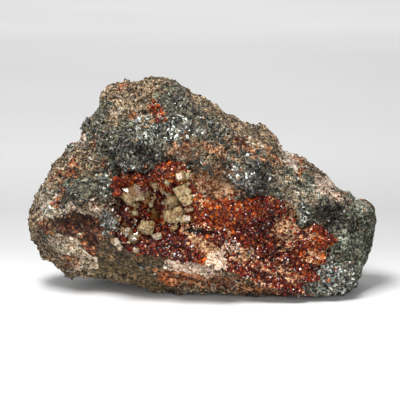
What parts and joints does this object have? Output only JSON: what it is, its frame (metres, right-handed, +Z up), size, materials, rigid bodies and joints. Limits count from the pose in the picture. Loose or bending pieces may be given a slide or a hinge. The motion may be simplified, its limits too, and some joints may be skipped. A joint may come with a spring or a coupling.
{
  "type": "hessonite garnet on matrix",
  "caption": "Hand specimen of rough green and tan rock with a shallow vug lined by orange-brown garnet crystals and pale blocky crystals, resting on a flat base.",
  "frame": {"origin": "on the ground under the middle of the specimen's bounding box, at the level of the flat base", "axes": "+Z up, +X along the specimen's length towards its low tapering end, -Y towards the viewer of the garnet face"},
  "size_m": [0.1258, 0.0536, 0.0775],
  "materials": {
    "matrix": "rough broken rock",
    "garnet": "glassy crystal faces",
    "pale_crystal": "glossy translucent crystal",
    "white_crystal": "glossy translucent crystal"
  },
  "bodies": {
    "root": {"matrix": "matrix", "garnet_crust": "garnet", "garnet_patch_upper": "garnet", "pale_crystals_upper_left": "pale_crystal", "pale_blade_left": "pale_crystal", "pale_crystals_centre": "pale_crystal", "pale_prism_right": "pale_crystal", "pale_crystals_upper": "pale_crystal", "pale_crystals_lower": "pale_crystal", "white_prism": "white_crystal", "pale_crystal_lower_right": "pale_crystal", "pale_crystals_lower_left": "pale_crystal", "pale_crystal_left": "pale_crystal", "white_crystals_rim": "white_crystal", "white_crystal_foot": "white_crystal", "pale_crystal_top_left": "pale_crystal", "pale_crystal_top": "pale_crystal", "pale_crystal_top_right": "pale_crystal"}
  },
  "joints": []
}
